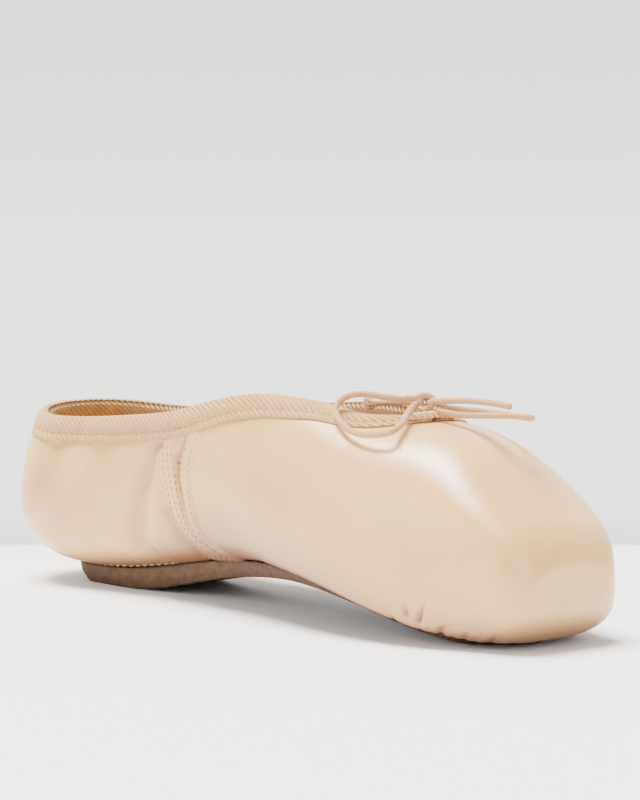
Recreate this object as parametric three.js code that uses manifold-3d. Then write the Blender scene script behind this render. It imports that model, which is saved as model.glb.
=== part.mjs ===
// Pointe shoe, straight-lasted, standing empty on its sole.
// Millimetres, +Z up, +X towards the toe, the shoe is the same on both sides of y = 0.
// The upper is one hollow wall whose outer skin is a function of two numbers:
//   u  the station: around the heel back (a fan of ribs on an upright axis), along the shoe, round the toe edge
//   v  the place on the rib: 0 under the foot on the centre line, 1 on top of the foot on the centre line
// Every other piece is taken from that same skin, so the pieces follow each other everywhere.
import * as THREE from "three";
import Module from "manifold-3d";
import { mergeVertices } from "three/addons/utils/BufferGeometryUtils.js";

// ---------------------------------------------------------------- named sizes
const LENGTH = 240; // heel back to toe platform
const X_SHIFT = -117.26; // puts the middle of the shoe's length at x = 0
const HEEL_AXIS = 30; // upright axis of the heel fan, from the heel back
const TOE_ROUND = 8.5; // rounding between the toe box and its flat platform
const QUARTER_WALL = 1.6; // satin and cotton lining
const BOX_WALL = 3.0; // satin, pasted layers and lining
const BOX_FROM = 150; // the wall starts to thicken here
const BOX_FULL = 190; // and has its full thickness here
const SOLE_OPENING_END = 204; // front end of the opening that the outsole closes
const LASTING_MARGIN = 5; // the upper is turned in under the sole's edge by this much
const GAP = 0.4; // pieces meet this far apart
const SOLE_BULGE = 0.5; // the sole's edge is fullest a little above its middle
const SOLE_BEVEL = 1.6; // and bevelled towards the floor
const INSOLE_THICK = 1.5;
const INSOLE_MARGIN = 4.0; // insole edge, in from the feather line
const INSOLE_END = 214;
const BINDING_OUTSIDE = 7.8; // width of the folded tape outside the collar
const BINDING_INSIDE = 6.2; // and inside
const BINDING_THICK = 0.9;
const BINDING_GAP = 0.8; // stands off the wall it is folded over
const CORD_DIAMETER = 2.1; // drawstring
const CORD_SIDES = 7;
const CORD_STEP = 3.2; // length of one facet along a cord

// ---------------------------------------------------------------- tables
// One row for each section of the last. sole: flat underneath; belly and wall: the low and high ends of the
// side; shoulder: where the side turns over; crown: top of the foot.
const LAST_COLUMNS = ["station", "sole_z", "sole_y", "belly_y", "belly_z", "wall_z", "shoulder_y", "shoulder_z", "crown_y", "crown_z"];
const HEEL_BACK = HEEL_AXIS - (Math.PI / 2) * HEEL_AXIS; // station of the heel's back seam
const LAST = {
  heel_back: [HEEL_BACK, 6.6, 15.0, 34.8, 18.5, 45.0, 32.5, 56.0, 17.0, 80.0],
  heel_turn: [HEEL_BACK + 23.5, 6.2, 18.0, 37.8, 16.0, 40.0, 31.5, 56.0, 17.0, 80.0],
  heel_side: [30, 5.5, 20.5, 35.8, 12.5, 35.0, 25.5, 56.0, 18.0, 81.0],
  seat: [57, 5.4, 20.0, 31.3, 15.5, 38.0, 26.0, 57.0, 20.0, 83.0],
  waist: [88, 10.5, 19.1, 30.4, 21.3, 41.3, 29.0, 62.0, 20.0, 83.0],
  arch: [114, 14.0, 21.9, 33.0, 23.5, 42.3, 32.0, 63.5, 18.5, 79.5],
  instep: [140, 15.0, 26.0, 36.7, 19.6, 38.0, 32.0, 61.5, 17.0, 74.0],
  ball: [171, 11.6, 30.0, 38.8, 13.7, 28.2, 34.5, 55.0, 17.0, 66.2],
  box: [202, 4.8, 30.0, 35.2, 7.5, 22.0, 30.8, 45.8, 17.0, 61.0],
  tip: [230, 1.3, 23.0, 25.4, 10.5, 19.2, 26.6, 34.4, 16.0, 41.0],
  platform: [LENGTH, 5.0, 20.0, 23.2, 12.5, 18.2, 21.6, 27.2, 14.0, 33.6],
};
// Collar line in the side view: place along the shoe and height, on the shoe's right (-Y) and left (+Y). The soft
// quarter on the left sags lower beside the instep. Before the throat both sides run into the top of the foot.
const COLLAR_COLUMNS = ["x", "right_z", "left_z"];
const COLLAR = [
  [0, 57.5, 57.5], [14, 55.8, 55.8], [32, 55.6, 55.6], [52, 57.2, 57.0], [72, 59.4, 58.6], [92, 62.6, 60.4], [110, 67.2, 62.4],
  [126, 69.6, 63.6], [142, 69.0, 64.2], [158, 67.3, 65.0], [178, 65.0, 65.0],
];
const THROAT = 173; // front end of the collar's opening
const THROAT_FROM = 146; // the collar starts to turn towards it here
const THROAT_DIP = { right: 0.16, left: 0.34 }; // how steeply each side leaves the top of the foot
// Outsole: half width and underside height at each station; flat on the floor at the heel and under the ball.
const OUTSOLE_COLUMNS = ["station", "half_width", "under_z"];
const OUTSOLE_BACK = HEEL_BACK;
const OUTSOLE_END = 224;
const OUTSOLE = [
  [HEEL_BACK, 14.5, 2.0], [HEEL_BACK + 23.5, 16.5, 0.5], [30, 19.0, 0.0], [52, 19.5, 0.0], [70, 18.2, 2.3], [88, 17.5, 6.3],
  [114, 19.5, 10.4], [136, 23.0, 11.9], [158, 26.0, 10.6], [178, 27.0, 7.4], [196, 25.0, 3.4], [208, 20.5, 0.8], [213, 17.0, 0.0],
  [219, 11.0, 0.0], [OUTSOLE_END, 3.5, 0.0],
];

// The bow at the throat, as the middle lines of its cords: one loop hangs over the right side, one points to the
// toe, and each has a free end. The knot's wraps are rings: centre, axis and radius.
const CORD_COLUMNS = ["x", "y", "z"];
const CORDS = {
  loop_side: [[174.1, -3.4, 69.6], [178.4, -10.2, 67.8], [183.2, -17.8, 65.0], [184.4, -23.3, 63.3], [180.6, -26.0, 62.4], [173.6, -27.0, 62.3], [167.3, -26.4, 63.8], [161.9, -24.6, 66.4], [157.9, -22.0, 68.4], [156.9, -19.0, 70.7], [158.8, -16.5, 72.4], [162.1, -13.2, 72.9], [167.0, -9.2, 72.0], [171.2, -5.0, 71.4]],
  loop_front: [[180.5, 0.2, 68.2], [190.3, 0.8, 67.4], [200.3, 1.8, 67.9], [210.7, 3.6, 68.4], [215.0, 7.0, 67.9], [208.5, 11.5, 67.2], [197.8, 13.0, 67.3], [187.7, 11.2, 67.8], [182.2, 7.6, 68.3], [179.6, 5.2, 68.8]],
  end_back: [[170.3, 0.7, 69.9], [165.6, 0.8, 69.6], [160.8, 1.0, 69.2], [156.7, 0.5, 68.8], [153.2, -1.0, 68.5]],
  end_front: [[180.5, 0.6, 71.0], [191.3, 2.0, 71.8], [201.1, 3.2, 71.8], [209.8, 4.0, 71.1]],
};
const KNOT_COLUMNS = ["x", "y", "z", "axis_x", "axis_y", "axis_z", "ring_radius"];
const KNOT = [
  [173.2, 0.2, 70.2, 0.75, 0.55, 0.35, 1.55], [175.4, -0.2, 70.4, 0.95, -0.2, 0.25, 1.6], [178.2, 0.6, 69.9, 0.9, 0.3, -0.3, 1.35],
];

// ---------------------------------------------------------------- small maths
// Natural cubic spline through (xs, ys).
function spline(xs, ys) {
  const n = xs.length, m = new Array(n).fill(0), c = new Array(n).fill(0), d = new Array(n).fill(0);
  for (let i = 1; i < n - 1; i++) {
    const h0 = xs[i] - xs[i - 1], h1 = xs[i + 1] - xs[i];
    const right = 6 * ((ys[i + 1] - ys[i]) / h1 - (ys[i] - ys[i - 1]) / h0);
    const pivot = 2 * (h0 + h1) - h0 * c[i - 1];
    c[i] = h1 / pivot;
    d[i] = (right - h0 * d[i - 1]) / pivot;
  }
  for (let i = n - 2; i > 0; i--) m[i] = d[i] - c[i] * m[i + 1];
  return (x) => {
    const t = Math.min(Math.max(x, xs[0]), xs[n - 1]);
    let i = 0;
    while (i < n - 2 && t > xs[i + 1]) i++;
    const h = xs[i + 1] - xs[i], a = (xs[i + 1] - t) / h, b = (t - xs[i]) / h;
    return a * ys[i] + b * ys[i + 1] + ((a ** 3 - a) * m[i] + (b ** 3 - b) * m[i + 1]) * h * h / 6;
  };
}
const column = (rows, k, names) => spline(rows.map((r) => r[0]), rows.map((r) => r[names.indexOf(k)]));
const smooth = (x, a, b) => {
  const t = Math.min(Math.max((x - a) / (b - a), 0), 1);
  return t * t * (3 - 2 * t);
};
const last = Object.fromEntries(LAST_COLUMNS.slice(1).map((k) => [k, column(Object.values(LAST), k, LAST_COLUMNS)]));
const RIGHT = -1, LEFT = 1;
const collarRight = column(COLLAR, "right_z", COLLAR_COLUMNS), collarLeft = column(COLLAR, "left_z", COLLAR_COLUMNS);
function collarZ(x, side) {
  const table = side === LEFT ? collarLeft(x) : collarRight(x);
  const dip = (THROAT - x) * (side === LEFT ? THROAT_DIP.left : THROAT_DIP.right);
  return table + (rib(x, 1)[1] - dip - table) * smooth(x, THROAT_FROM, THROAT - 5);
}
const soleHalf = column(OUTSOLE, "half_width", OUTSOLE_COLUMNS);
const soleUnder = column(OUTSOLE, "under_z", OUTSOLE_COLUMNS);

// ---------------------------------------------------------------- the skin
// A rib as a cubic B-spline of its section's corners, mirrored at both ends: distance from the axis, and height.
function rib(station, v) {
  const s = Object.fromEntries(Object.entries(last).map(([k, f]) => [k, f(station)]));
  const corners = [
    [-s.belly_y, s.belly_z], [-s.sole_y, s.sole_z], [s.sole_y, s.sole_z], [s.belly_y, s.belly_z], [s.belly_y, s.wall_z],
    [s.shoulder_y, s.shoulder_z], [s.crown_y, s.crown_z], [-s.crown_y, s.crown_z], [-s.shoulder_y, s.shoulder_z],
  ];
  const t = 0.5 + 5 * v, i = Math.min(Math.max(Math.floor(t), 0), 5), f = t - i;
  const w = [(1 - f) ** 3 / 6, (3 * f ** 3 - 6 * f * f + 4) / 6, (-3 * f ** 3 + 3 * f * f + 3 * f + 1) / 6, f ** 3 / 6];
  let r = 0, z = 0;
  for (let k = 0; k < 4; k++) {
    r += w[k] * corners[i + k][0];
    z += w[k] * corners[i + k][1];
  }
  return [r, z];
}
const U_ROUND = LENGTH - TOE_ROUND; // the toe edge starts to round here
const U_FLAT = U_ROUND + TOE_ROUND * Math.PI / 2; // the platform is flat from here
const stationOf = (u) => (u <= U_ROUND ? u : U_ROUND + TOE_ROUND * Math.sin(Math.min((u - U_ROUND) / TOE_ROUND, Math.PI / 2)));
// Outer skin. v below 0 or above 1, and u before the back seam, give the shoe's other side.
function skin(u, v) {
  let side = 1;
  if (v < 0) { v = -v; side = -side; }
  if (v > 1) { v = 2 - v; side = -side; }
  if (u < HEEL_BACK) { u = 2 * HEEL_BACK - u; side = -side; }
  const station = stationOf(u);
  const [r, z0] = rib(station, v);
  let x = station, y = r, z = z0;
  if (station < HEEL_AXIS) {
    const turn = (HEEL_AXIS - station) / HEEL_AXIS;
    x = HEEL_AXIS - r * Math.sin(turn);
    y = r * Math.cos(turn);
  }
  if (u > U_ROUND) {
    const inset = u < U_FLAT ? TOE_ROUND * (1 - Math.cos((u - U_ROUND) / TOE_ROUND)) : TOE_ROUND + u - U_FLAT;
    const low = last.sole_z(station), high = last.crown_z(station), mid = (low + high) / 2;
    y *= 1 - inset / last.belly_y(station);
    z = mid + (z - mid) * (1 - inset / ((high - low) / 2));
  }
  return new THREE.Vector3(x, side * y, z);
}
function normal(u, v) {
  const e = 0.004, du = 0.2;
  const a = skin(u + du, v).sub(skin(u - du, v)), b = skin(u, v + e).sub(skin(u, v - e));
  return a.cross(b).normalize().negate();
}
const wallAt = (u) => QUARTER_WALL + (BOX_WALL - QUARTER_WALL) * smooth(stationOf(u), BOX_FROM, BOX_FULL);
// A point at a height above the skin (below it where negative).
const above = (u, v, height) => skin(u, v).addScaledVector(normal(u, v), height);
// The place on a rib where its distance from the axis is r, under the foot.
function vUnder(u, r) {
  let a = 0, b = 0.5;
  for (let k = 0; k < 40; k++) {
    const m = (a + b) / 2;
    if (rib(stationOf(u), m)[0] < r) a = m; else b = m;
  }
  return (a + b) / 2;
}
// The place on a rib where it reaches the collar line of one side.
function vCollar(u, side) {
  let a = 0.35, b = 1;
  const over = (v) => { const p = skin(u, v); return p.z - collarZ(p.x, side); };
  if (over(1) <= 0) return 1;
  for (let k = 0; k < 40; k++) {
    const m = (a + b) / 2;
    if (over(m) < 0) a = m; else b = m;
  }
  return (a + b) / 2;
}
// Half width of the opening under the sole, rounded off at its front end.
const openingHalf = (u) => {
  const ahead = SOLE_OPENING_END - u;
  return ahead <= 0 ? 0 : Math.min(soleHalf(u) - LASTING_MARGIN, Math.sqrt(ahead * (2 * 14 + ahead)));
};

// ---------------------------------------------------------------- closed meshes from grids
class Builder {
  constructor() { this.points = []; this.index = new Map(); this.faces = []; }
  point(p) {
    const key = [p.x, p.y, p.z].map((c) => Math.round(c * 2000)).join();
    if (!this.index.has(key)) { this.index.set(key, this.points.length); this.points.push([p.x + X_SHIFT, p.y, p.z]); }
    return this.index.get(key);
  }
  tri(a, b, c) { if (a !== b && b !== c && a !== c) this.faces.push([a, b, c]); }
  quad(a, b, c, d) { this.tri(a, b, c); this.tri(a, c, d); }
  // rows[i][j] of points; flip turns the faces round
  grid(rows, flip = false) {
    const id = rows.map((r) => r.map((p) => this.point(p)));
    for (let i = 0; i + 1 < id.length; i++)
      for (let j = 0; j + 1 < id[i].length; j++)
        flip ? this.quad(id[i][j], id[i + 1][j], id[i + 1][j + 1], id[i][j + 1]) : this.quad(id[i][j], id[i][j + 1], id[i + 1][j + 1], id[i + 1][j]);
  }
  // a grid on the left, and the mirror image in y = 0 of the same grid, or of another, on the right
  pair(rows, flip = false, right = rows) {
    this.grid(rows, flip);
    this.grid(right.map((r) => r.map((p) => new THREE.Vector3(p.x, -p.y, p.z))), !flip);
  }
  geometry() {
    const g = new THREE.BufferGeometry();
    g.setAttribute("position", new THREE.Float32BufferAttribute(this.points.flat(), 3));
    g.setIndex(this.faces.flat());
    g.computeVertexNormals();
    return g;
  }
}
const range = (a, b, n) => Array.from({ length: n + 1 }, (_, i) => a + ((b - a) * i) / n);

// ---------------------------------------------------------------- upper
const THROAT_STEPS = [34, 24, 16, 10, 6.5, 3.8, 2.0, 0.9, 0.25].map((back) => THROAT - back); // close together where the throat rounds off
const UPPER_STATIONS = [
  ...range(HEEL_BACK, HEEL_AXIS, 11),
  ...range(HEEL_AXIS, THROAT - 34, 12).slice(1, -1),
  ...THROAT_STEPS,
  ...range(THROAT, SOLE_OPENING_END - 5, 4),
  SOLE_OPENING_END - 3, SOLE_OPENING_END - 1, SOLE_OPENING_END,
  ...range(SOLE_OPENING_END, U_ROUND, 5).slice(1),
  ...range(U_ROUND, U_FLAT, 4).slice(1),
];
const RIB_STEPS = 14;
function ribRow(u, height, side) {
  const lo = u >= SOLE_OPENING_END ? 0 : vUnder(u, openingHalf(u));
  const hi = u >= THROAT ? 1 : vCollar(u, side);
  return range(lo, hi, RIB_STEPS).map((v) => {
    const p = above(u, v, height);
    if (v === 1 || (v === 0 && u >= SOLE_OPENING_END) || u === HEEL_BACK) p.y = 0;
    return p;
  });
}
function upperGeometry() {
  const b = new Builder(), at = UPPER_STATIONS, end = at.length - 1;
  const side = (s) => ({ out: at.map((u) => ribRow(u, 0, s)), inn: at.map((u) => ribRow(u, -wallAt(u), s)) });
  const left = side(LEFT), right = side(RIGHT);
  const each = (make, flip) => b.pair(make(left), flip, make(right));
  each((s) => s.out, false);
  each((s) => s.inn, true);
  // the collar's edge, the edge of the opening under the sole, and the flat platform inside and out
  const upTo = (limit) => at.map((_, i) => i).filter((i) => at[i] <= limit);
  each((s) => upTo(THROAT).map((i) => [s.out[i][RIB_STEPS], s.inn[i][RIB_STEPS]]), false);
  each((s) => upTo(SOLE_OPENING_END).map((i) => [s.inn[i][0], s.out[i][0]]), false);
  for (const [rows, flip] of [[left.out, false], [left.inn, true]]) {
    const ring = rows[end], centre = new THREE.Vector3(ring[0].x, 0, (ring[0].z + ring[RIB_STEPS].z) / 2);
    const half = ring.map((p) => p.clone().lerp(centre, 0.5));
    b.pair([ring, half, ring.map(() => centre)], flip);
  }
  return b.geometry();
}

// ---------------------------------------------------------------- outsole and insole
const SOLE_STATIONS = [
  ...range(HEEL_BACK, HEEL_AXIS, 9), ...range(HEEL_AXIS, 52, 2).slice(1), ...range(52, 178, 12).slice(1), ...range(178, 208, 4).slice(1), 210, 213, 216, 219, 221.5, OUTSOLE_END,
];
const SOLE_STEPS = 5;
function onStation(u, r, z) {
  if (u >= HEEL_AXIS) return new THREE.Vector3(u, r, z);
  const turn = (HEEL_AXIS - u) / HEEL_AXIS;
  return new THREE.Vector3(HEEL_AXIS - r * Math.sin(turn), u === HEEL_BACK ? 0 : r * Math.cos(turn), z);
}
// Height of the skin under the foot, the ribs of the heel fan brought together at their axis.
function underFoot(u, r) {
  const z = rib(u, vUnder(u, r))[1];
  if (u >= HEEL_AXIS) return z;
  const axis = rib(HEEL_AXIS, 0)[1];
  return axis + (z - axis) * smooth(r, 0, 12);
}
const steep = (u, r) => Math.hypot(1, underFoot(u, r + 0.5) - underFoot(u, Math.abs(r - 0.5)));
function outsoleGeometry() {
  const b = new Builder();
  const top = [], bottom = [], edge = [];
  for (const u of SOLE_STATIONS) {
    const half = soleHalf(u);
    const under = (r) => soleUnder(u) * (u < HEEL_AXIS ? smooth(r, 5, half) : 1);
    const seat = (r) => underFoot(u, r) - GAP * steep(u, r);
    top.push(range(0, half, SOLE_STEPS).map((r) => onStation(u, r, seat(r))));
    edge.push(onStation(u, half + SOLE_BULGE, seat(half) * 0.6 + under(half) * 0.4));
    bottom.push(range(0, half - SOLE_BEVEL, SOLE_STEPS).map((r) => onStation(u, r, Math.max(under(r), 0))));
  }
  b.pair(top, true);
  b.pair(bottom);
  b.pair(SOLE_STATIONS.map((_, i) => [bottom[i][SOLE_STEPS], edge[i], top[i][SOLE_STEPS]]));
  const n = SOLE_STATIONS.length - 1, tip = top[n][SOLE_STEPS];
  b.pair([bottom[n], top[n]]);
  b.pair([[bottom[n][SOLE_STEPS], edge[n]], [tip, tip]]);
  return b.geometry();
}
const INSOLE_STATIONS = [...range(HEEL_BACK, HEEL_AXIS, 8), ...range(HEEL_AXIS, 190, 12).slice(1), ...range(190, INSOLE_END, 5).slice(1)];
const insoleHalf = (u) => Math.min(last.sole_y(u) - INSOLE_MARGIN, u > 185 ? Math.sqrt(Math.max((INSOLE_END - u) * (2 * 26 - (INSOLE_END - u)), 16)) : 99);
function insoleGeometry() {
  const b = new Builder(), low = [], high = [], across = 4;
  for (const u of INSOLE_STATIONS) {
    const rs = range(0, insoleHalf(u), across);
    const lift = (r) => underFoot(u, r) + (wallAt(u) + 1.5 * GAP) * steep(u, r);
    low.push(rs.map((r) => onStation(u, r, lift(r))));
    high.push(rs.map((r) => onStation(u, r, lift(r) + INSOLE_THICK)));
  }
  b.pair(low);
  b.pair(high, true);
  b.pair(INSOLE_STATIONS.map((_, i) => [low[i][across], high[i][across]]));
  b.pair([low.at(-1), high.at(-1)]);
  return b.geometry();
}

// ---------------------------------------------------------------- collar binding
// Walks over the skin from (u, v) in a direction, and gives the place it reaches.
function walk(u, v, direction, distance) {
  const steps = 4;
  let heading = direction.clone();
  for (let k = 0; k < steps; k++) {
    const n = normal(u, v);
    heading.addScaledVector(n, -heading.dot(n)).normalize();
    const target = skin(u, v).addScaledVector(heading, distance / steps);
    for (let it = 0; it < 6; it++) {
      const p = skin(u, v), e = 0.003, du = 0.15;
      const a = skin(u + du, v).sub(skin(u - du, v)).divideScalar(2 * du), b = skin(u, v + e).sub(skin(u, v - e)).divideScalar(2 * e);
      const g = target.clone().sub(p), aa = a.dot(a), ab = a.dot(b), bb = b.dot(b), det = aa * bb - ab * ab;
      if (Math.abs(det) < 1e-9) break;
      u += (bb * a.dot(g) - ab * b.dot(g)) / det;
      v += (aa * b.dot(g) - ab * a.dot(g)) / det;
    }
  }
  return [u, v];
}
const COLLAR_STATIONS = UPPER_STATIONS.filter((u) => u <= THROAT);
function bindingSections(side) {
  const edge = COLLAR_STATIONS.map((u) => [u, u >= THROAT ? 1 : vCollar(u, side)]);
  const at = edge.map(([u, v]) => { const p = skin(u, v); if (u === HEEL_BACK || u >= THROAT) p.y = 0; return p; });
  const n = at.length - 1, mirror = (p) => new THREE.Vector3(p.x, -p.y, p.z);
  return at.map((p, i) => {
    const before = i > 0 ? at[i - 1] : mirror(at[1]), after = i < n ? at[i + 1] : mirror(at[n - 1]);
    const tangent = after.clone().sub(before).normalize();
    const [u, v] = edge[i];
    const down = normal(u, v).cross(tangent).normalize(); // away from the opening
    if (i < n ? down.z > 0 : down.x < 0) down.negate();
    const wall = wallAt(u), t = BINDING_THICK, out = BINDING_GAP, inn = -wall - BINDING_GAP;
    const place = (b, h) => {
      const [uu, vv] = b > 0 ? walk(u, v, down, b) : [u, v];
      const q = above(uu, vv, h);
      if (b < 0) q.addScaledVector(down, b);
      if (i === 0 || i === n) q.y = 0;
      return q;
    };
    const W = BINDING_OUTSIDE, I = BINDING_INSIDE;
    return [
      place(W, out), place(W, out + t * 0.8), place(W * 0.5, out + t), place(0.6, out + t * 1.15), place(-1.3, out + t * 0.7),
      place(-2.0, -wall / 2), place(-1.3, inn - t * 0.7), place(0.6, inn - t * 1.15), place(I * 0.5, inn - t), place(I, inn - t * 0.8),
      place(I, inn), place(I * 0.5, inn), place(0.2, inn), place(-0.6, -wall / 2), place(0.2, out), place(W * 0.5, out),
    ];
  });
}
function bindingGeometry() {
  const b = new Builder(), closed = (side) => bindingSections(side).map((s) => [...s, s[0]]);
  b.pair(closed(LEFT), false, closed(RIGHT));
  return b.geometry();
}

// ---------------------------------------------------------------- drawstring
function cordGeometry(rows) {
  const path = new THREE.CatmullRomCurve3(rows.map(([x, y, z]) => new THREE.Vector3(x + X_SHIFT, y, z)), false, "centripetal");
  const ring = range(0, 2 * Math.PI, CORD_SIDES).slice(0, -1).map((a) => new THREE.Vector2(Math.cos(a), Math.sin(a)).multiplyScalar(CORD_DIAMETER / 2));
  return new THREE.ExtrudeGeometry(new THREE.Shape(ring), { steps: Math.round(path.getLength() / CORD_STEP), extrudePath: path, curveSegments: 1 });
}
const joiner = await Module();
joiner.setup();
function knotGeometry() {
  const rings = KNOT.map(([x, y, z, ax, ay, az, radius]) => {
    const turn = new THREE.Quaternion().setFromUnitVectors(new THREE.Vector3(0, 0, 1), new THREE.Vector3(ax, ay, az).normalize());
    const g = new THREE.TorusGeometry(radius, CORD_DIAMETER / 2, 7, 11).applyQuaternion(turn).translate(x + X_SHIFT, y, z);
    const heart = new THREE.SphereGeometry(radius * 0.8, 8, 6).applyQuaternion(turn).translate(x + X_SHIFT, y, z);
    return [g, heart].map(solid).reduce((a, b) => a.add(b));
  });
  const m = rings.reduce((a, b) => a.add(b)).getMesh(), g = new THREE.BufferGeometry();
  g.setAttribute("position", new THREE.BufferAttribute(new Float32Array(m.vertProperties), 3)).setIndex(Array.from(m.triVerts));
  return g;
}
function solid(geometry) {
  const bare = new THREE.BufferGeometry().setAttribute("position", geometry.getAttribute("position")).setIndex(geometry.index);
  const m = mergeVertices(bare, 1e-4);
  return new joiner.Manifold(new joiner.Mesh({ numProp: 3, vertProperties: m.attributes.position.array, triVerts: new Uint32Array(m.index.array) }));
}

// ---------------------------------------------------------------- the assembled shoe
const satin = new THREE.MeshStandardMaterial({ name: "satin", color: 0xe3cdb0, roughness: 0.35, metalness: 0 });
const leather = new THREE.MeshStandardMaterial({ name: "leather", color: 0x8d7355, roughness: 0.8, metalness: 0 });
const lining = new THREE.MeshStandardMaterial({ name: "lining", color: 0xdcc7ab, roughness: 0.9, metalness: 0 });
const twill = new THREE.MeshStandardMaterial({ name: "twill", color: 0xe6cdae, roughness: 0.85, metalness: 0 });
const cord = new THREE.MeshStandardMaterial({ name: "cord", color: 0xe0c6a4, roughness: 0.8, metalness: 0 });

const shoe = new THREE.Group();
shoe.name = "pointe_shoe";
function add(name, geometry, material) {
  const mesh = new THREE.Mesh(geometry, material);
  mesh.name = name;
  shoe.add(mesh);
}
add("upper", upperGeometry(), satin);
add("outsole", outsoleGeometry(), leather);
add("insole", insoleGeometry(), lining);
add("collar_binding", bindingGeometry(), twill);
add("drawstring_knot", knotGeometry(), cord.clone());
for (const [name, rows] of Object.entries(CORDS)) add("drawstring_" + name, cordGeometry(rows), cord.clone());

export default shoe;
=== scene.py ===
import math

import bmesh
import bpy
import numpy as np
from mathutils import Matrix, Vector


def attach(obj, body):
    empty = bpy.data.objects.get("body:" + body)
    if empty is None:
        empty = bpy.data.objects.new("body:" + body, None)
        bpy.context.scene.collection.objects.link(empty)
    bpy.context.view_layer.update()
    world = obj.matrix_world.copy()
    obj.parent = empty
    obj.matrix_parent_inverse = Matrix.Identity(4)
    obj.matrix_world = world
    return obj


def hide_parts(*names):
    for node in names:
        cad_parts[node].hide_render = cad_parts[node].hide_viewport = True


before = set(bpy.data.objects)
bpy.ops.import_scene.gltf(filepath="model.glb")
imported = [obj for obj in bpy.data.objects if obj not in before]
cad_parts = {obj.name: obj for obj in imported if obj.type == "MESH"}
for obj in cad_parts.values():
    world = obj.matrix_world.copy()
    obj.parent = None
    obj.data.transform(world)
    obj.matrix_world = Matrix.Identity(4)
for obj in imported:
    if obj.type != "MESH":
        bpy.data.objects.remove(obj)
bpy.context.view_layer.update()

# ------------------------------------------------------------------ sizes of the shoe, in millimetres
X_SHIFT = -117.26
LENGTH, HEEL_AXIS, TOE_ROUND = 240.0, 30.0, 8.5
HB = HEEL_AXIS - math.pi / 2 * HEEL_AXIS
U_ROUND = LENGTH - TOE_ROUND
U_FLAT = U_ROUND + TOE_ROUND * math.pi / 2
QUARTER_WALL, BOX_WALL, BOX_FROM, BOX_FULL = 1.6, 3.0, 150.0, 190.0
OPENING_END, LASTING_MARGIN, GAP = 204.0, 5.0, 0.4
INSOLE_THICK, INSOLE_MARGIN, INSOLE_END = 1.5, 4.0, 214.0
THROAT, THROAT_FROM = 173.0, 146.0
DIP = {-1: 0.16, 1: 0.34}
TAPE_OUT, TAPE_IN, TAPE_THICK, TAPE_GAP = 7.6, 6.2, 0.9, 0.8
CORD = 2.1

# station, sole_z, sole_y, belly_y, belly_z, wall_z, shoulder_y, shoulder_z, crown_y, crown_z
LAST = np.array([
    [HB, 6.6, 15, 34.8, 18.5, 45, 30.9, 56, 16, 80],
    [HB + 23.5, 6.2, 18, 37.8, 16, 40, 30.7, 56, 16.3, 80],
    [30, 5.5, 20.5, 35.8, 12.5, 35, 25.5, 56, 18, 81],
    [57, 5.4, 20, 31.3, 15.5, 38, 26, 57, 20, 83],
    [88, 10.5, 19.1, 30.4, 21.3, 41.3, 29, 62, 20, 83],
    [114, 14, 21.9, 33, 23.5, 42.3, 32, 63.5, 18.5, 79.5],
    [140, 15, 26, 36.7, 19.6, 38, 32, 61.5, 17, 74],
    [171, 11.6, 30, 38.8, 13.7, 28.2, 34.5, 55, 17, 66.2],
    [202, 4.8, 30, 35.2, 7.5, 22, 30.8, 45.8, 17, 61],
    [230, 1.3, 23, 25.4, 10.5, 19.2, 26.6, 34.4, 16, 41],
    [240, 5, 20, 23.2, 12.5, 18.2, 21.6, 27.2, 14, 33.6]], float)
# x, height on the right, height on the left
COLLAR = np.array([
    [0, 57.5, 57.5], [14, 55.8, 55.8], [32, 55.6, 55.6], [52, 57.2, 57], [72, 59.4, 58.6], [92, 62.6, 60.4],
    [110, 67.2, 62.4], [126, 69.6, 63.6], [142, 69, 64.2], [158, 67.3, 65], [178, 65, 65]], float)
# station, half width, height of the underside
OUTSOLE = np.array([
    [HB, 14.5, 2], [HB + 23.5, 16.5, .5], [30, 19, 0], [52, 19.5, 0], [70, 18.2, 2.3], [88, 17.5, 6.3], [114, 19.5, 10.4],
    [136, 23, 11.9], [158, 26, 10.6], [178, 27, 7.4], [196, 25, 3.4], [208, 20.5, .8], [213, 17, 0], [219, 11, 0],
    [224, 3.5, 0]], float)
CORDS = {
    "loop_side": [[174.1, -3.4, 69.6], [178.4, -10.2, 67.8], [183.2, -17.8, 65], [184.4, -23.3, 63.3], [180.6, -26, 62.4],
                  [173.6, -27, 62.3], [167.3, -26.4, 63.8], [161.9, -24.6, 66.4], [157.9, -22, 68.4], [156.9, -19, 70.7],
                  [158.8, -16.5, 72.4], [162.1, -13.2, 72.9], [167, -9.2, 72], [171.2, -5, 71.4]],
    "loop_front": [[180.5, .2, 68.2], [190.3, .8, 67.4], [200.3, 1.8, 67.9], [210.7, 3.6, 68.4], [215, 7, 67.9],
                   [208.5, 11.5, 67.2], [197.8, 13, 67.3], [187.7, 11.2, 67.8], [182.2, 7.6, 68.3], [179.6, 5.2, 68.8]],
    "end_back": [[170.3, .7, 69.9], [165.6, .8, 69.6], [160.8, 1, 69.2], [156.7, .5, 68.8], [153.2, -1, 68.5]],
    "end_front": [[180.5, .6, 71], [191.3, 2, 71.8], [201.1, 3.2, 71.8], [209.8, 4, 71.1]],
}
KNOT = [[173.2, .2, 70.2, .75, .55, .35, 1.55], [175.4, -.2, 70.4, .95, -.2, .25, 1.6], [178.2, .6, 69.9, .9, .3, -.3, 1.35]]

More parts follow.
